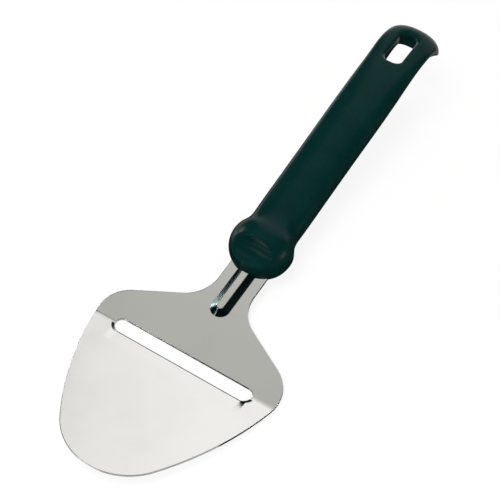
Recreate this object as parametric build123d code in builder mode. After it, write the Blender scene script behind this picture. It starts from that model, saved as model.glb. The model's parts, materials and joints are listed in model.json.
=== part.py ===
from build123d import *
import os
from math import asin, atan2, cos, degrees, hypot, radians, sin, sqrt, tan

# Cheese slicer: a stamped steel blade with its tang, and a plastic handle moulded round the tang.
#
# Millimetres. X runs across the slicer, Y runs from the tip of the blade (-Y) to the tail of the
# handle (+Y) and Z is up. The slicer stands as it rests on a worktop: on its cutting lip and on
# the underside of the ball at the front of the handle, with the origin under its middle.
#
# Places along the slicer are measured from the middle of the ball, and heights from the upper
# face of the flat part of the blade.

# Blade sheet
sheet = 1.2
tip_reach = 124.0
tip_lift_angle = 13.9
fold_distance = 59.9
fold_radius = 13.0

# Blade outline, seen from above
side_radius = 138.0
shoulder_half_width = 44.4
shoulder_distance = 48.6
shoulder_round = 15.0
nose_round = 26.3
heel_distance = 29.1
heel_round = 15.9
neck_width = 17.6
neck_distance = 6.0
neck_round = 2.5

# Slicing slot and cutting lip
slot_length = 65.4
slot_width = 6.0
lip_drop = 0.35
lip_depth = 6.4
lip_bevel = 0.6
lip_bevel_angle = 30.0
lip_land = 0.3

# Stiffening rib pressed into the neck
rib_width = 8.4
rib_height = 2.6
rib_wall_angle = 45.0
rib_distance = 36.0
rib_inside_ball = 9.0
rib_round = 0.7

# Tang inside the handle: it bends up behind the ball's middle and ends on the middle of the grip
tang_width = 12.0
tang_reach = 76.0
tang_bend_distance = 3.0
tang_bend_radius = 10.0
anchor_hole = 5.0
anchor_count = 2
anchor_pitch = 26.0

# Ball at the front of the handle
ball_width = 28.3
ball_height = 26.4
ball_rise = 4.2

# Thumb rest, an oval dish in the front of the ball
thumb_length = 12.5
thumb_depth = 2.6
thumb_tilt = 43.8
thumb_distance = 8.1
thumb_rise = 12.6
thumb_spread = 21.0
thumb_round = 1.6

# Grip
grip_reach = 133.7
grip_width = 23.6
grip_depth = 17.6
grip_rise = 5.0
grip_pitch = 3.75
tail_round = 1.0

# Hang hole through the tail
hang_length = 19.4
hang_width = 8.4
hang_corner = 3.4
hang_margin = 7.8
hang_rim = 2.0

# Cutting tools run past what they cut by this much
overrun = 5.0

# Sections of the handle behind the ball. In each row: place along the grip as a share of its reach,
# half width as a share of half the grip's width, top and underside as shares of its depth from the
# line that climbs through its middle, how far up its height the section is widest, and how far the
# crown and the underside run flat towards the sides.
grip_shares = [
    (0.025, 1.16, 0.66, -0.77, 0.50, 0.58, 0.60),
    (0.050, 1.02, 0.57, -0.62, 0.50, 0.62, 0.60),
    (0.074, 0.96, 0.51, -0.54, 0.50, 0.66, 0.60),
    (0.105, 0.96, 0.48, -0.51, 0.50, 0.70, 0.60),
    (0.180, 0.97, 0.48, -0.51, 0.50, 0.70, 0.60),
    (0.420, 0.98, 0.49, -0.51, 0.50, 0.70, 0.60),
    (0.720, 1.00, 0.39, -0.40, 0.50, 0.70, 0.60),
    (0.820, 1.00, 0.29, -0.28, 0.50, 0.70, 0.60),
    (0.900, 1.02, 0.20, -0.26, 0.44, 0.70, 0.64),
    (0.950, 1.05, 0.12, -0.46, 0.28, 0.66, 0.72),
    (0.980, 1.04, 0.00, -0.64, 0.20, 0.62, 0.76),
    (0.993, 0.94, -0.10, -0.64, 0.22, 0.60, 0.76),
    (1.000, 0.80, -0.18, -0.56, 0.26, 0.56, 0.74),
]
side_share = 0.60

# The front half of the ball is a half ellipsoid, cut into sections at these turns from its nose
ball_turns = [6, 18, 34, 52, 70, 90]
round_share = 0.5523

# The lip is a strip of the tip plate that starts in front of the fold, pressed down to the slot
plumb = sheet / cos(radians(tip_lift_angle))
slot_half = (slot_length - slot_width) / 2
lip_edge = fold_distance + slot_width / 2
lip_root = lip_edge + lip_depth
lip_start = fold_distance + (fold_radius + sheet) * tan(radians(tip_lift_angle / 2))
lip_half = slot_half + sqrt((slot_width / 2) ** 2 - (lip_start - fold_distance) ** 2)


def lip_plate(distance, drop):
    """Height of the upper face of the tip plate, pressed down by a drop at the edge of the slot."""
    climb = (distance - fold_distance) * tan(radians(tip_lift_angle))
    pressed = (lip_root - distance) / lip_depth * drop
    return climb - sheet / 2 + plumb / 2 - pressed


lip_press = lip_drop + lip_plate(lip_edge, 0)
bevel_start = lip_plate(lip_edge + lip_bevel, lip_press)
bevel_end = lip_plate(lip_edge, lip_press) - lip_bevel * tan(radians(lip_bevel_angle))

# The slicer rests on a narrow flat under the edge of the lip and on the round underside of the ball
land_start = lip_edge + lip_land
land_depth = ball_rise + plumb - lip_plate(land_start, lip_press)
ball_radius = ball_height / 2
rest_slope = atan2(land_depth, land_start)
rest_tilt = degrees(asin(ball_radius / hypot(land_start, land_depth)) - rest_slope)
rest_height = ball_radius - ball_rise * cos(radians(rest_tilt))
tip_rise = (tip_reach - fold_distance) * tan(radians(tip_lift_angle))
middle = ((grip_reach - tip_reach) * cos(radians(rest_tilt)) - tip_rise * sin(radians(rest_tilt))) / 2

sole = Plane(
    origin=(0, -middle, rest_height),
    x_dir=(1, 0, 0),
    z_dir=(0, -sin(radians(rest_tilt)), cos(radians(rest_tilt))),
)
sole_axis = Axis(sole.origin, sole.y_dir)
lengthwise = Plane(origin=sole.origin, x_dir=sole.y_dir, z_dir=sole.x_dir)


def crosswise(distance):
    """The plane that stands across the slicer at a distance from the ball, facing the tip."""
    return Plane(origin=sole.from_local_coords((0, distance, 0)), x_dir=sole.x_dir, z_dir=-sole.y_dir)


def grip_line(distance):
    """Height of the middle of the grip at a distance from the ball."""
    return grip_rise + distance * tan(radians(grip_pitch))


# The side arcs of the blade meet ahead of its rounded nose
ogive_reach = tip_reach + nose_round / 2
tip_end = (-ogive_reach, (ogive_reach - fold_distance) * tan(radians(tip_lift_angle)) - sheet / 2)
tang_slope = (grip_line(tang_reach) + sheet / 2) / (tang_reach - tang_bend_distance)
tang_overrun = tang_reach + overrun
tang_end = (tang_overrun, tang_slope * (tang_overrun - tang_bend_distance) - sheet / 2)
rib_end_distance = ball_radius - rib_inside_ball
rib_length = rib_distance - rib_end_distance
rib_hollow = sheet * tan(radians(rib_wall_angle / 2))

# Blade: the folded sheet seen from the side, trimmed to its outline seen from above
with BuildPart() as blade:
    with BuildSketch(lengthwise):
        with BuildLine():
            fold = FilletPolyline(
                tang_end,
                (tang_bend_distance, -sheet / 2),
                (-fold_distance, -sheet / 2),
                tip_end,
                radius=[tang_bend_radius, fold_radius],
            )
        trace(fold, sheet)
    extrude(amount=shoulder_half_width, both=True)

    with BuildSketch(sole.offset(-ogive_reach)) as outline:
        with BuildLine():
            side = RadiusArc((0, -ogive_reach), (shoulder_half_width, -shoulder_distance), -side_radius)
            FilletPolyline(
                side @ 1,
                (neck_width / 2, -heel_distance),
                (neck_width / 2, -neck_distance),
                (tang_width / 2, 0),
                (tang_width / 2, tang_reach),
                (0, tang_reach),
                radius=[heel_round, neck_round, neck_round, tang_width / 4],
            )
            mirror(about=Plane.YZ)
        make_face()
        corners = outline.vertices().sort_by(Axis.X)
        fillet([corners[0], corners[-1]], shoulder_round)
        fillet(outline.vertices().sort_by(Axis.Y)[0], nose_round)
        with Locations((0, tang_reach - anchor_pitch)):
            with GridLocations(0, anchor_pitch, 1, anchor_count):
                Circle(anchor_hole / 2, mode=Mode.SUBTRACT)
    extrude(amount=2 * ogive_reach, mode=Mode.INTERSECT)

    # Cutting lip: a strip of the tip plate pressed down between the rounded ends of the slot
    with BuildSketch(sole):
        with Locations((0, -(lip_root + lip_start) / 2)):
            Rectangle(2 * lip_half, lip_root - lip_start)
    extrude(amount=overrun, both=True, mode=Mode.SUBTRACT)
    for place, drop in [(-lip_half, 0), (-slot_half, lip_press), (slot_half, lip_press), (lip_half, 0)]:
        with BuildSketch(lengthwise.offset(place)):
            with BuildLine():
                Polyline(
                    (-lip_root, lip_plate(lip_root, drop)),
                    (-lip_start, lip_plate(lip_start, drop)),
                    (-lip_start, lip_plate(lip_start, drop) - plumb),
                    (-lip_root, lip_plate(lip_root, drop) - plumb),
                    close=True,
                )
            make_face()
    loft(ruled=True)
    with BuildSketch(sole):
        with Locations((0, -fold_distance)):
            SlotOverall(slot_length, slot_width)
    extrude(amount=overrun, both=True, mode=Mode.SUBTRACT)

    # Ground bevel along the upper side of the lip
    with BuildSketch(lengthwise):
        with BuildLine():
            Polyline(
                (-lip_edge - lip_bevel, bevel_start),
                (-lip_edge, bevel_end),
                (-fold_distance, bevel_end),
                (-fold_distance, bevel_start),
                close=True,
            )
        make_face()
    extrude(amount=slot_half, both=True, mode=Mode.SUBTRACT)

    # Ground flat under the edge of the lip, level with the table
    with BuildSketch():
        with Locations((0, sole.from_local_coords((0, -lip_edge, 0)).Y)):
            Rectangle(2 * lip_half, lip_depth)
    extrude(amount=-overrun, mode=Mode.SUBTRACT)

    # Stiffening rib: raised above the sheet, hollow below it
    with BuildSketch(sole):
        with Locations((0, -(rib_distance + rib_end_distance) / 2)):
            SlotOverall(rib_length, rib_width, rotation=90)
    extrude(amount=rib_height, taper=rib_wall_angle)
    fillet(blade.edges(Select.LAST).group_by(Axis.Z)[-1], rib_round)
    with BuildSketch(sole.offset(-sheet)):
        with Locations((0, -(rib_distance + rib_end_distance) / 2)):
            SlotOverall(rib_length - 2 * rib_hollow, rib_width - 2 * rib_hollow, rotation=90)
    extrude(amount=rib_height, taper=rib_wall_angle, mode=Mode.SUBTRACT)


# Handle: ball, thumb rest and grip in one moulding
def half_section(half_width, top, under, waist, crown, flat):
    """One half of a section of the handle, as two curves that meet at its widest place."""
    widest = (half_width, waist)
    Bezier((0, top), (crown * half_width, top), (half_width, waist + side_share * (top - waist)), widest)
    Bezier(widest, (half_width, waist - flat * (waist - under)), (flat * half_width, under), (0, under))


sections = []
for turn in ball_turns:
    swell = sin(radians(turn)) / 2
    sections.append(
        (
            -cos(radians(turn)) * ball_radius,
            swell * ball_width,
            ball_rise + swell * ball_height,
            ball_rise - swell * ball_height,
            ball_rise,
            round_share,
            round_share,
        )
    )
for reach_share, width_share, top_share, under_share, waist_share, crown_share, flat_share in grip_shares:
    place = reach_share * grip_reach
    top = grip_line(place) + top_share * grip_depth
    under = grip_line(place) + under_share * grip_depth
    waist = under + waist_share * (top - under)
    sections.append((place, width_share * grip_width / 2, top, under, waist, crown_share, flat_share))

thumb_radius = (thumb_length ** 2 / 4 + thumb_depth ** 2) / (2 * thumb_depth)
thumb_dir = sole.y_dir * -sin(radians(thumb_tilt)) + sole.z_dir * cos(radians(thumb_tilt))
thumb_centre = sole.from_local_coords((0, -thumb_distance, thumb_rise))
thumb_plane = Plane(
    origin=thumb_centre + thumb_dir * (thumb_radius - thumb_depth),
    x_dir=sole.x_dir,
    z_dir=sole.x_dir.cross(thumb_dir),
)

with BuildPart() as handle:
    rings = []
    for place, half_width, top, under, waist, crown, flat in sections:
        with BuildLine(crosswise(place), mode=Mode.PRIVATE) as ring:
            half_section(half_width, top, under, waist, crown, flat)
            mirror(about=Plane(origin=sole.origin, x_dir=sole.y_dir, z_dir=sole.x_dir))
        rings.append(Face(Wire(ring.edges())))
    loft(rings)
    fillet(handle.faces().sort_by(sole_axis)[-1].edges(), tail_round)

    # Hang hole, with soft rims above and below
    with BuildSketch(sole):
        with Locations((0, grip_reach - hang_margin - hang_length / 2)):
            RectangleRounded(hang_width, hang_length, hang_corner)
    extrude(amount=grip_reach, both=True, mode=Mode.SUBTRACT)
    rims = handle.edges(Select.LAST).filter_by(lambda rim: rim.geom_type != GeomType.LINE)
    fillet(rims, hang_rim)

    # Thumb rest: an oval dish in the front of the ball, tilted towards the blade
    with BuildSketch(thumb_plane):
        Ellipse(thumb_spread, thumb_radius)
        Rectangle(2 * thumb_spread, thumb_radius, align=(Align.CENTER, Align.MIN), mode=Mode.INTERSECT)
    revolve(axis=Axis(thumb_plane.origin, thumb_plane.x_dir), mode=Mode.SUBTRACT)
    fillet(handle.edges(Select.LAST), thumb_round)

    # The moulding closes round the tang and fills its anchor holes
    add(blade.part, mode=Mode.SUBTRACT)

os.makedirs("parts", exist_ok=True)
blade.part.label = "blade"
export_step(blade.part, "parts/blade.step")
handle.part.label = "handle"
export_step(handle.part, "parts/handle.step")
for piece in (blade.part, handle.part):
    print(piece.label, round(piece.volume), piece.is_valid, len(piece.solids()), piece.bounding_box())
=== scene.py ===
import bpy
import json
from math import atan2, cos, radians, sin
from mathutils import Matrix, Vector

# Cheese slicer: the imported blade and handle, dressed in polished steel and satin moulded plastic,
# lying on its lip and its ball on a pale studio table. Metres, Z up.

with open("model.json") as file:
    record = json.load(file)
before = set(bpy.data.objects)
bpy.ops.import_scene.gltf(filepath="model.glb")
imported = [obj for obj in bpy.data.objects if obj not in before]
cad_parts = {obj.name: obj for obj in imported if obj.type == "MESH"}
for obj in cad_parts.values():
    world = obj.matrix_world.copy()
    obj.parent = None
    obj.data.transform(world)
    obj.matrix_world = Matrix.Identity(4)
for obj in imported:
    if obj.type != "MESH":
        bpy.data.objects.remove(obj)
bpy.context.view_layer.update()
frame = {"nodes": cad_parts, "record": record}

blade = frame["nodes"]["blade"]
handle = frame["nodes"]["handle"]
print("frame loaded:", ", ".join(frame["nodes"]))

# The flat part of the blade leans a little as the slicer lies on the table
hangHole = next(mount for mount in frame["record"]["mounts"] if mount["name"] == "hang_hole")
restTilt = atan2(-hangHole["axis"][1], hangHole["axis"][2])

white = (1.0, 1.0, 1.0, 1.0)


# Node helpers

def newTree(material):
    material.use_nodes = True
    tree = material.node_tree
    tree.nodes.clear()
    return tree


def addNode(tree, kind, inputs=None, **settings):
    node = tree.nodes.new(kind)
    for name, value in settings.items():
        setattr(node, name, value)
    for name, value in (inputs or {}).items():
        socket = node.inputs[name]
        if isinstance(value, bpy.types.NodeSocket):
            tree.links.new(value, socket)
        else:
            socket.default_value = value
    return node


def calc(tree, operation, first, second, **settings):
    return addNode(tree, "ShaderNodeMath", {0: first, 1: second}, operation=operation, **settings).outputs[0]


def vectorNode(tree, operation, first, second=None):
    values = {0: first} if second is None else {0: first, 1: second}
    return addNode(tree, "ShaderNodeVectorMath", values, operation=operation)


def ramp(tree, value, fromRange, toRange=(0.0, 1.0), kind="LINEAR"):
    return addNode(tree, "ShaderNodeMapRange", {
        "Value": value,
        "From Min": fromRange[0],
        "From Max": fromRange[1],
        "To Min": toRange[0],
        "To Max": toRange[1],
    }, interpolation_type=kind).outputs["Result"]


def newGroup(name, inputs, outputs):
    group = bpy.data.node_groups.new(name, "ShaderNodeTree")
    for direction, sockets in (("INPUT", inputs), ("OUTPUT", outputs)):
        for socket in sockets:
            group.interface.new_socket(socket, in_out=direction, socket_type="NodeSocketFloat")
    return group, addNode(group, "NodeGroupInput")


def placeGroup(tree, group, **values):
    node = addNode(tree, "ShaderNodeGroup", node_tree=group)
    for name, value in values.items():
        node.inputs[name.replace("_", " ")].default_value = value
    return node


def mixColor(tree, factor, first, second):
    # sockets 6 and 7 of a colour mix are its two colours, and output 2 is the mixed one
    mix = addNode(tree, "ShaderNodeMix", {"Factor": factor}, data_type="RGBA", blend_type="MIX")
    for socket, value in ((mix.inputs[6], first), (mix.inputs[7], second)):
        if isinstance(value, bpy.types.NodeSocket):
            tree.links.new(value, socket)
        else:
            socket.default_value = value
    return mix.outputs[2]


def mixValue(tree, factor, first, second):
    return addNode(tree, "ShaderNodeMix", {"Factor": factor, "A": first, "B": second}).outputs["Result"]


# Studio: a pale table inside a dim tent, with one bright window behind the tail. The tent, its ceiling,
# the window, the boxes and the cards only show in the steel and in the gloss of the handle.

studio = {
    "tableColor": (0.93, 0.93, 0.93, 1.0),
    "tableGlow": 0.88,          # share of plain white that the camera and the gloss see in the table
    "tableReach": 3.0,
    "airColor": (0.70, 0.71, 0.675, 1.0),
    "airStrength": 0.74,
}

tent = {
    "radius": 0.62,
    "height": 0.95,
    "footHeight": 0.002,
    "ceilingReach": 1.02,       # share of the tent's radius
    "sides": 48,
    "window": (-40.0, 34.0),    # degrees from the tail towards the right
    "wallColor": (0.6, 1.0, 1.0, 1.0),
    "wallGlow": 0.014,
    "ceilingColor": (0.99, 1.0, 0.96, 1.0),
    "ceilingGlow": 0.20,
    "patchGlow": 0.54,          # the lit part of the ceiling
    "patchPlace": (-0.306, 0.261),
    "patchFade": (0.10, 0.52),
    "spillFade": (0.28, 0.58),  # where the window starts and ends to light the ceiling
    "spillGlow": 0.50,
}

# cards laid on the table: dark under the blade and the handle as a painted shadow that only the gloss sees, dim
# to the right, bright left of the ball
cardHeight = 0.0003
tableCards = {
    "shadowUnderBlade": {"low": (-0.046, -0.0575), "high": (0.048, 0.012), "glow": 0.015},
    "shadowUnderLip": {"low": (-0.030, -0.0655), "high": (0.030, -0.0605), "glow": 0.012},
    "shadowUnderShoulder": {"low": (0.032, -0.090), "high": (0.050, -0.0575), "glow": 0.012},
    "shadowUnderHandle": {"low": (-0.050, 0.0125), "high": (0.0515, 0.150), "glow": 0.05},
    "besideHandle": {"low": (0.052, -0.060), "high": (0.42, 0.34), "glow": 0.14},
    "leftOfBall": {"low": (-0.200, -0.018), "high": (-0.118, 0.018), "glow": 9.0},
}

# glow is given at the left and at the right end, rim is the share of it at the outer edge
softBoxes = {
    "windowLight": {"turn": -6.0, "rise": 30.0, "distance": 0.80, "size": (1.10, 0.86),
                    "glow": (0.77, 1.08), "rim": 1.0},
    "leftBox": {"turn": -87.0, "rise": 17.0, "distance": 0.26, "size": (0.12, 0.09),
                "glow": (9.0, 9.0), "rim": 0.4},
    "frontBox": {"turn": -156.0, "rise": 23.0, "distance": 0.40, "size": (0.10, 0.08),
                 "glow": (11.0, 11.0), "rim": 0.3},
    "rightBox": {"turn": 84.0, "rise": 6.0, "distance": 0.21, "size": (0.10, 0.045),
                 "glow": (9.0, 9.0), "rim": 0.4},
}
boxRimFade = (0.0, 0.75)
boxEnds = (1.0, 0.3)            # places along a box, from its middle, where its two glows hold

keyLamp = {"turn": 195.0, "rise": 68.0, "distance": 1.1, "size": 0.55, "power": 9.0}


def seenShare(tree, share):
    # what the camera, metal and glass see, as a share
    path = addNode(tree, "ShaderNodeLightPath")
    seen = calc(tree, "MAXIMUM", path.outputs["Is Camera Ray"], path.outputs["Is Glossy Ray"])
    seen = calc(tree, "MAXIMUM", seen, path.outputs["Is Transmission Ray"])
    return calc(tree, "MULTIPLY", seen, share)


def studioPlace(turn, rise, distance):
    # turn goes from the tail (+Y) towards the right (+X), rise up from the table
    reach = distance * cos(radians(rise))
    return Vector((reach * sin(radians(turn)), reach * cos(radians(turn)), distance * sin(radians(rise))))


def aimed(place):
    return Matrix.Translation(place) @ place.to_track_quat("Z", "Y").to_matrix().to_4x4()


def addStage(name, points, faces, material):
    mesh = bpy.data.meshes.new(name)
    mesh.from_pydata(points, [], faces)
    thing = bpy.data.objects.new(name, mesh)
    bpy.context.scene.collection.objects.link(thing)
    thing.data.materials.append(material)
    return thing


def onlyReflected(thing):
    thing.visible_camera = False
    thing.visible_diffuse = False
    thing.visible_shadow = False


def tableMaterial():
    material = bpy.data.materials.new("paleTable")
    tree = newTree(material)
    diffuse = addNode(tree, "ShaderNodeBsdfDiffuse", {"Color": studio["tableColor"]})
    glow = addNode(tree, "ShaderNodeEmission", {"Color": white, "Strength": 1.0})
    seen = seenShare(tree, studio["tableGlow"])
    mix = addNode(tree, "ShaderNodeMixShader", {0: seen, 1: diffuse.outputs[0], 2: glow.outputs[0]})
    addNode(tree, "ShaderNodeOutputMaterial", {"Surface": mix.outputs[0]})
    return material


def addTable():
    reach = studio["tableReach"]
    corners = [(-reach, -reach, 0), (reach, -reach, 0), (reach, reach, 0), (-reach, reach, 0)]
    addStage("table", corners, [(0, 1, 2, 3)], tableMaterial())


def evenGlow(name, strength):
    material = bpy.data.materials.new(name)
    tree = newTree(material)
    glow = addNode(tree, "ShaderNodeEmission", {"Color": tent["wallColor"], "Strength": strength})
    addNode(tree, "ShaderNodeOutputMaterial", {"Surface": glow.outputs[0]})
    return material


def addTableCard(name, card):
    (left, front), (right, back) = card["low"], card["high"]
    outline = [(left, front), (right, front), (right, back), (left, back)]
    corners = [(*corner, cardHeight) for corner in outline]
    onlyReflected(addStage(name, corners, [(0, 1, 2, 3)], evenGlow(name, card["glow"])))


def tentCeilingMaterial():
    material = bpy.data.materials.new("tentCeiling")
    tree = newTree(material)
    place = addNode(tree, "ShaderNodeTexCoord").outputs["Object"]
    away = vectorNode(tree, "DISTANCE", place, (*tent["patchPlace"], tent["height"])).outputs["Value"]
    patch = ramp(tree, away, tent["patchFade"], (tent["patchGlow"], tent["ceilingGlow"]), "SMOOTHSTEP")
    back = addNode(tree, "ShaderNodeSeparateXYZ", {"Vector": place}).outputs["Y"]
    spill = ramp(tree, back, tent["spillFade"], (0.0, tent["spillGlow"]), "SMOOTHSTEP")
    level = calc(tree, "ADD", patch, spill)
    glow = addNode(tree, "ShaderNodeEmission", {"Color": tent["ceilingColor"], "Strength": level})
    addNode(tree, "ShaderNodeOutputMaterial", {"Surface": glow.outputs[0]})
    return material


def addTent():
    sides = tent["sides"]
    first, last = tent["window"][1], 360.0 + tent["window"][0]
    points = []
    for side in range(sides + 1):
        foot = studioPlace(first + (last - first) * side / sides, 0.0, tent["radius"])
        points.append((foot.x, foot.y, tent["footHeight"]))
        points.append((foot.x, foot.y, tent["height"]))
    faces = [(2 * k, 2 * k + 2, 2 * k + 3, 2 * k + 1) for k in range(sides)]
    onlyReflected(addStage("tentWall", points, faces, evenGlow("tentWall", tent["wallGlow"])))
    reach = tent["ceilingReach"] * tent["radius"]
    rim = [studioPlace(360.0 * side / sides, 0.0, reach) for side in range(sides)]
    ceiling = [(place.x, place.y, tent["height"]) for place in rim]
    onlyReflected(addStage("tentCeiling", ceiling, [tuple(range(sides))], tentCeilingMaterial()))


def boxMaterial(name, box):
    # brighter towards its middle and towards one end, as a soft box is
    material = bpy.data.materials.new(name)
    tree = newTree(material)
    place = addNode(tree, "ShaderNodeTexCoord").outputs["Object"]
    fade = addNode(tree, "ShaderNodeTexGradient", {"Vector": place}, gradient_type="QUADRATIC_SPHERE")
    rim = ramp(tree, fade.outputs["Fac"], boxRimFade, (box["rim"], 1.0))
    side = addNode(tree, "ShaderNodeSeparateXYZ", {"Vector": place})
    level = ramp(tree, side.outputs["X"], boxEnds, box["glow"])
    strength = calc(tree, "MULTIPLY", rim, level)
    glow = addNode(tree, "ShaderNodeEmission", {"Color": white, "Strength": strength})
    addNode(tree, "ShaderNodeOutputMaterial", {"Surface": glow.outputs[0]})
    return material


def addSoftBox(name, box):
    corners = [(-1, -1, 0), (1, -1, 0), (1, 1, 0), (-1, 1, 0)]
    card = addStage(name, corners, [(0, 1, 2, 3)], boxMaterial(name, box))
    card.matrix_world = aimed(studioPlace(box["turn"], box["rise"], box["distance"])) @ Matrix.Diagonal(
        (box["size"][0] / 2, box["size"][1] / 2, 1.0, 1.0))
    onlyReflected(card)


def addKeyLamp():
    lamp = bpy.data.lights.new("keyLamp", "AREA")
    lamp.shape = "DISK"
    lamp.size = keyLamp["size"]
    lamp.energy = keyLamp["power"]
    key = bpy.data.objects.new("keyLamp", lamp)
    bpy.context.scene.collection.objects.link(key)
    key.matrix_world = aimed(studioPlace(keyLamp["turn"], keyLamp["rise"], keyLamp["distance"]))
    key.visible_glossy = False
    key.visible_camera = False


def setAir():
    world = bpy.data.worlds.new("studioAir")
    bpy.context.scene.world = world
    tree = newTree(world)
    air = addNode(tree, "ShaderNodeBackground", {"Color": studio["airColor"], "Strength": studio["airStrength"]})
    backdrop = addNode(tree, "ShaderNodeBackground", {"Color": white, "Strength": 1.0})
    seen = seenShare(tree, 1.0)
    mix = addNode(tree, "ShaderNodeMixShader", {0: seen, 1: air.outputs[0], 2: backdrop.outputs[0]})
    addNode(tree, "ShaderNodeOutputWorld", {"Surface": mix.outputs[0]})


addTable()
for cardName, card in tableCards.items():
    addTableCard(cardName, card)
addTent()
for boxName, box in softBoxes.items():
    addSoftBox(boxName, box)
addKeyLamp()
setAir()
print("studio set")


# Camera: turned and raised as in the photograph, level with the flat part of the blade

cameraView = {
    "target": (-0.004977, -0.005115, 0.008879),
    "azimuth": 32.33,
    "elevation": 57.29,
    "distance": 0.672,
    "lens": 115.2,
    "sensor": 36.0,
    "nearest": 0.01,
}


def addCamera():
    lens = bpy.data.cameras.new("photoCamera")
    lens.sensor_width = cameraView["sensor"]
    lens.lens = cameraView["lens"]
    lens.clip_start = cameraView["nearest"]
    camera = bpy.data.objects.new("photoCamera", lens)
    bpy.context.scene.collection.objects.link(camera)
    lean = Matrix.Rotation(restTilt, 4, "X")
    turn = Matrix.Rotation(radians(cameraView["azimuth"]), 4, "Z")
    raiseUp = Matrix.Rotation(radians(90.0 - cameraView["elevation"]), 4, "X")
    away = Matrix.Translation((0.0, 0.0, cameraView["distance"]))
    camera.matrix_world = Matrix.Translation(cameraView["target"]) @ lean @ turn @ raiseUp @ away
    bpy.context.scene.camera = camera


addCamera()
bpy.context.scene.view_settings.view_transform = "Standard"
print("camera placed")


# Groups that both materials use

wearLook = {
    "bentNormal": (0.995, 0.90),
    "breakup": (0.32, 0.68),
    "least": (0.35, 1.0),
    "samples": 6,
}
noiseSpread = (0.3, 0.7)        # the part of a noise's range that is used


def edgeWearGroup():
    # where edges and corners are rubbed: the rounded normal leaves the real one there
    group, given = newGroup("edgeWear", ["Width", "Breakup Size"], ["Wear"])
    surface = addNode(group, "ShaderNodeNewGeometry")
    rounded = addNode(group, "ShaderNodeBevel", {"Radius": given.outputs["Width"]}, samples=wearLook["samples"])
    same = vectorNode(group, "DOT_PRODUCT", rounded.outputs["Normal"], surface.outputs["Normal"])
    bent = ramp(group, same.outputs["Value"], wearLook["bentNormal"])
    place = addNode(group, "ShaderNodeTexCoord")
    size = calc(group, "DIVIDE", 1.0, given.outputs["Breakup Size"])
    breakup = addNode(group, "ShaderNodeTexNoise", {
        "Vector": place.outputs["Object"], "Scale": size, "Detail": 4.0, "Roughness": 0.6})
    patchy = ramp(group, breakup.outputs["Fac"], wearLook["breakup"], wearLook["least"])
    addNode(group, "NodeGroupOutput", {"Wear": calc(group, "MULTIPLY", bent, patchy)})
    return group


def surfaceMarksGroup():
    # fine marks, drawn out along the slicer or left round, and wide soft smudges
    group, given = newGroup("surfaceMarks", ["Mark Width", "Mark Length", "Smudge Size"], ["Marks", "Smudges"])
    place = addNode(group, "ShaderNodeTexCoord").outputs["Object"]
    across = calc(group, "DIVIDE", 1.0, given.outputs["Mark Width"])
    along = calc(group, "DIVIDE", 1.0, given.outputs["Mark Length"])
    stretch = addNode(group, "ShaderNodeCombineXYZ", {"X": across, "Y": along, "Z": across})
    drawn = vectorNode(group, "MULTIPLY", place, stretch.outputs[0])
    marks = addNode(group, "ShaderNodeTexNoise", {
        "Vector": drawn.outputs[0], "Scale": 1.0, "Detail": 2.0, "Roughness": 0.6})
    size = calc(group, "DIVIDE", 1.0, given.outputs["Smudge Size"])
    smudges = addNode(group, "ShaderNodeTexNoise", {
        "Vector": place, "Scale": size, "Detail": 3.0, "Roughness": 0.55, "Distortion": 0.4})
    addNode(group, "NodeGroupOutput", {"Marks": marks.outputs["Fac"], "Smudges": smudges.outputs["Fac"]})
    return group


edgeWear = edgeWearGroup()
surfaceMarks = surfaceMarksGroup()


# Blade: polished stainless sheet with duller stamped edges, with painted dark reflections on the cut sides, on
# the rib walls and at the ends of the lip

steel = {
    "color": (0.80, 0.79, 0.77, 1.0),
    "smudgeColor": (0.775, 0.768, 0.75, 1.0),
    "smudgeSpread": (0.45, 0.75),
    "cutSideDullAndDark": (0.34, 0.35, 0.345, 1.0),       # sides left by the stamping: duller, and also darkened as a painted dark reflection
    "rubbedColor": (0.90, 0.89, 0.87, 1.0),
    "rubbedShare": 0.5,
    "ribWallDarkReflection": (0.10, 0.20, 0.20, 1.0),    # painted dark reflection on the sloping walls of the pressed rib
    "slotShadeColor": (0.012, 0.020, 0.020, 1.0),  # painted shade where the press sheared the sheet at the ends of the lip
    "sickleReach": 0.0043,
    "sickleEdge": 0.0002,
    "sickleSlimming": (0.0, 0.0022),
    "sickleLipSide": (0.0005, 0.0011),
    "slotEnd": (0.0297, -0.06333),              # middle of the slot's rounded end
    "flatBelow": 0.45,
    "wallAbove": 0.75,
    "roughness": (0.10, 0.16),
    "cutRoughness": 0.22,
    "wearWidth": 0.0005,
    "wearBreakup": 0.004,
    "markWidth": 0.00030,
    "markLength": 0.010,
    "markHeight": 0.000012,
    "smudgeSize": 0.028,
    "edgeRound": 0.00045,
    "edgeSamples": 6,
}

# cosines of the lean at which a wall of the rib starts and ends, and of walls that face the tip
slopeAbove = (0.58, 0.64)
slopeBelow = (0.84, 0.78)
facingTip = (0.97, 0.995)


def sheetWallGroup():
    # upright walls of the sheet, those that face the tip, and the pressed walls that slope at 45 degrees
    group, given = newGroup("sheetWall", ["Flat Below", "Wall Above"], ["Wall", "Facing Tip", "Slant"])
    normal = addNode(group, "ShaderNodeNewGeometry").outputs["Normal"]
    upright = vectorNode(group, "DOT_PRODUCT", normal, (0.0, -sin(restTilt), cos(restTilt)))
    flatness = addNode(group, "ShaderNodeMath", {0: upright.outputs["Value"]}, operation="ABSOLUTE").outputs[0]
    lean = calc(group, "SUBTRACT", 1.0, flatness)
    wall = ramp(group, lean, (0.0, 1.0), kind="SMOOTHSTEP").node
    group.links.new(given.outputs["Flat Below"], wall.inputs["From Min"])
    group.links.new(given.outputs["Wall Above"], wall.inputs["From Max"])
    facing = vectorNode(group, "DOT_PRODUCT", normal, (0.0, -cos(restTilt), -sin(restTilt)))
    front = ramp(group, facing.outputs["Value"], facingTip)
    slant = calc(group, "MULTIPLY", ramp(group, flatness, slopeBelow), ramp(group, flatness, slopeAbove))
    addNode(group, "NodeGroupOutput", {"Wall": wall.outputs["Result"], "Facing Tip": front, "Slant": slant})
    return group


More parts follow.
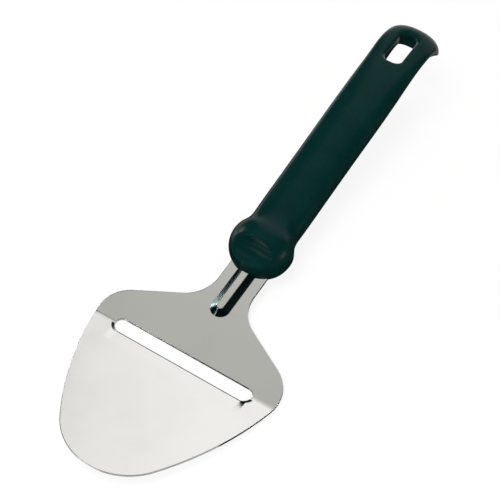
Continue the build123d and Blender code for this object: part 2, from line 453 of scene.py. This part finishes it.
def paintedSlotShade(tree):
    # painted shade: a narrow dark sickle outside each rounded end of the slot, on the side of the lip
    place = addNode(tree, "ShaderNodeTexCoord")
    side = addNode(tree, "ShaderNodeSeparateXYZ", {"Vector": place.outputs["Object"]})
    mirrored = addNode(tree, "ShaderNodeMath", {0: side.outputs["X"]}, operation="ABSOLUTE").outputs[0]
    across = calc(tree, "SUBTRACT", mirrored, steel["slotEnd"][0])
    along = calc(tree, "SUBTRACT", steel["slotEnd"][1], side.outputs["Y"])
    flat = addNode(tree, "ShaderNodeCombineXYZ", {"X": across, "Y": along})
    away = vectorNode(tree, "LENGTH", flat.outputs[0]).outputs["Value"]
    reach, soft = steel["sickleReach"], steel["sickleEdge"]
    ring = ramp(tree, away, (reach + soft, reach - soft))
    # the sickle is widest beside the slot and runs out along the lip
    sickle = calc(tree, "MULTIPLY", ring, ramp(tree, across, steel["sickleSlimming"]))
    return calc(tree, "MULTIPLY", sickle, ramp(tree, along, steel["sickleLipSide"]))


def steelMaterial():
    material = bpy.data.materials.new("polishedSteel")
    tree = newTree(material)
    marks = placeGroup(tree, surfaceMarks, Mark_Width=steel["markWidth"], Mark_Length=steel["markLength"],
                       Smudge_Size=steel["smudgeSize"])
    wear = placeGroup(tree, edgeWear, Width=steel["wearWidth"], Breakup_Size=steel["wearBreakup"])
    cut = placeGroup(tree, sheetWallGroup(), Flat_Below=steel["flatBelow"], Wall_Above=steel["wallAbove"])
    smudged = ramp(tree, marks.outputs["Smudges"], steel["smudgeSpread"])
    color = mixColor(tree, smudged, steel["color"], steel["smudgeColor"])
    # the cut sides, but not those that face the tip, are duller and also painted dark as a reflection
    dullAndDarkSides = calc(tree, "SUBTRACT", cut.outputs["Wall"], cut.outputs["Facing Tip"], use_clamp=True)
    color = mixColor(tree, dullAndDarkSides, color, steel["cutSideDullAndDark"])
    # painted shade at the ends of the lip
    color = mixColor(tree, paintedSlotShade(tree), color, steel["slotShadeColor"])
    # painted dark reflection: the sloping walls of the rib are darkened by their slope
    color = mixColor(tree, cut.outputs["Slant"], color, steel["ribWallDarkReflection"])
    rubbed = calc(tree, "MULTIPLY", wear.outputs["Wear"], steel["rubbedShare"])
    color = mixColor(tree, rubbed, color, steel["rubbedColor"])
    rough = ramp(tree, marks.outputs["Smudges"], noiseSpread, steel["roughness"])
    rough = mixValue(tree, cut.outputs["Wall"], rough, steel["cutRoughness"])
    rounded = addNode(tree, "ShaderNodeBevel", {"Radius": steel["edgeRound"]}, samples=steel["edgeSamples"])
    bump = addNode(tree, "ShaderNodeBump", {
        "Height": marks.outputs["Marks"],
        "Strength": 1.0,
        "Distance": steel["markHeight"],
        "Normal": rounded.outputs["Normal"],
    })
    shader = addNode(tree, "ShaderNodeBsdfPrincipled", {
        "Base Color": color,
        "Metallic": 1.0,
        "Roughness": rough,
        "Normal": bump.outputs["Normal"],
    })
    addNode(tree, "ShaderNodeOutputMaterial", {"Surface": shader.outputs["BSDF"]})
    return material


# Handle: satin moulded plastic

plastic = {
    "color": (0.0006, 0.0170, 0.0160, 1.0),
    "paleColor": (0.0012, 0.0210, 0.0198, 1.0),
    "rubbedColor": (0.004, 0.034, 0.033, 1.0),
    "rubbedShare": 0.6,
    "roughness": (0.23, 0.29),
    "specular": 0.07,
    "wearWidth": 0.0012,
    "wearBreakup": 0.006,
    "grainSize": 0.00035,
    "grainHeight": 0.000010,
    "cloudSize": 0.016,
    "hollowReach": 0.008,       # the mould leaves the inside of the hole matt
    "hollowSpread": (0.70, 0.40),
    "hollowRoughness": 1.0,
    "hollowSamples": 8,
}


def plasticMaterial():
    material = bpy.data.materials.new("satinPlastic")
    tree = newTree(material)
    marks = placeGroup(tree, surfaceMarks, Mark_Width=plastic["grainSize"], Mark_Length=plastic["grainSize"],
                       Smudge_Size=plastic["cloudSize"])
    wear = placeGroup(tree, edgeWear, Width=plastic["wearWidth"], Breakup_Size=plastic["wearBreakup"])
    cloudy = ramp(tree, marks.outputs["Smudges"], noiseSpread)
    color = mixColor(tree, cloudy, plastic["color"], plastic["paleColor"])
    rubbed = calc(tree, "MULTIPLY", wear.outputs["Wear"], plastic["rubbedShare"])
    color = mixColor(tree, rubbed, color, plastic["rubbedColor"])
    rough = ramp(tree, marks.outputs["Smudges"], noiseSpread, plastic["roughness"])
    openness = addNode(tree, "ShaderNodeAmbientOcclusion", {"Distance": plastic["hollowReach"]},
                       samples=plastic["hollowSamples"])
    hollow = ramp(tree, openness.outputs["AO"], plastic["hollowSpread"])
    rough = mixValue(tree, hollow, rough, plastic["hollowRoughness"])
    bump = addNode(tree, "ShaderNodeBump", {
        "Height": marks.outputs["Marks"],
        "Strength": 1.0,
        "Distance": plastic["grainHeight"],
    })
    shader = addNode(tree, "ShaderNodeBsdfPrincipled", {
        "Base Color": color,
        "Roughness": rough,
        "Specular IOR Level": plastic["specular"],
        "Normal": bump.outputs["Normal"],
    })
    addNode(tree, "ShaderNodeOutputMaterial", {"Surface": shader.outputs["BSDF"]})
    return material


def dress(node, material):
    for slot in node.material_slots:
        slot.material = material


dress(blade, steelMaterial())
dress(handle, plasticMaterial())
handle.visible_glossy = False    # the steel in the photograph doesn't mirror the dark ball
print("materials on")
